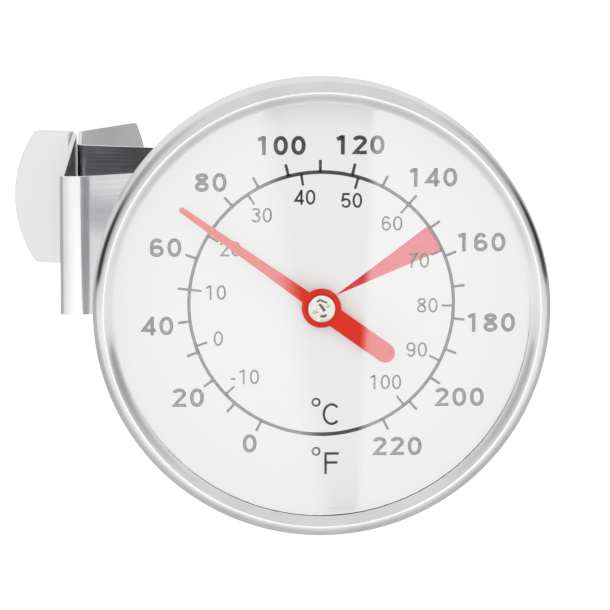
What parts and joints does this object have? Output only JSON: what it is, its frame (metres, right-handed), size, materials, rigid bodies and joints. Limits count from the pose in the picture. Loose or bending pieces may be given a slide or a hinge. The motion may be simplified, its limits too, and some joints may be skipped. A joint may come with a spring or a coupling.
{
  "type": "dial probe thermometer",
  "caption": "Round dial probe thermometer with a needle, a long thin stem and a bent spring clip with a white finger sleeve for a jug or pan rim.",
  "frame": {"origin": "centre of the hexagon nut's seat face, on the stem's axis", "axes": "+Y along the stem towards its tip, so the dial faces -Y; +Z towards twelve o'clock on the dial; +X towards three o'clock"},
  "size_m": [0.0545, 0.143, 0.045],
  "materials": {
    "case_steel": "satin drawn stainless steel",
    "bezel_steel": "satin to polished stainless steel",
    "window_glass": "clear flat window",
    "seal_rubber": "matt elastomer",
    "spacer_metal": "bright rolled ring",
    "dial_white": "satin white enamel with dark grey and red printing",
    "support_plastic": "matt moulded ring",
    "nut_steel": "machined stainless steel",
    "spring_steel": "bright spring steel",
    "stem_steel": "polished drawn tube",
    "bearing_brass": "turned brass",
    "bimetal_strip": "rolled bimetal, faintly straw coloured",
    "spindle_steel": "ground wire",
    "hub_metal": "nickel-washed turned brass",
    "pointer_red": "satin red lacquer on sheet",
    "clip_steel": "mirror-polished stainless spring strip",
    "sleeve_white": "soft-gloss white moulding"
  },
  "bodies": {
    "stem_assembly": {"calibration_nut": "nut_steel", "seal_washer": "seal_rubber", "spring_washer": "spring_steel", "snap_ring": "spring_steel", "stem_tube": "stem_steel", "stem_tip": "stem_steel", "upper_bearing": "bearing_brass", "spindle_guides": "bearing_brass", "coil_anchor": "bearing_brass", "bimetal_coil": "bimetal_strip"},
    "case_assembly": {"case_cup": "case_steel", "bezel_ring": "bezel_steel", "glass_lens": "window_glass", "lens_gasket": "seal_rubber", "dial_spacer_ring": "spacer_metal", "dial_plate": "dial_white", "dial_support_ring": "support_plastic"},
    "pointer_assembly": {"spindle": "spindle_steel", "coil_collar": "bearing_brass", "pointer_hub": "hub_metal", "pointer": "pointer_red"},
    "clip_assembly": {"clip_strip": "clip_steel", "clip_tab_sleeve": "sleeve_white"}
  },
  "joints": [
    {"name": "case_calibration_turn", "type": "hinge", "parent": "stem_assembly", "child": "case_assembly", "pos_m": [0, 0, 0], "axis": [0, 1, 0], "continuous": true},
    {"name": "pointer_turn", "type": "hinge", "parent": "stem_assembly", "child": "pointer_assembly", "pos_m": [0, 0, 0], "axis": [0, 1, 0], "range_deg": [-98.5, 206.5], "stiffness_Nm_per_rad": 0.0002, "deforming": ["bimetal_coil"]},
    {"name": "clip_slide", "type": "slide", "parent": "stem_assembly", "child": "clip_assembly", "axis": [0, 1, 0], "range_m": [-0.04, 0.06]}
  ]
}
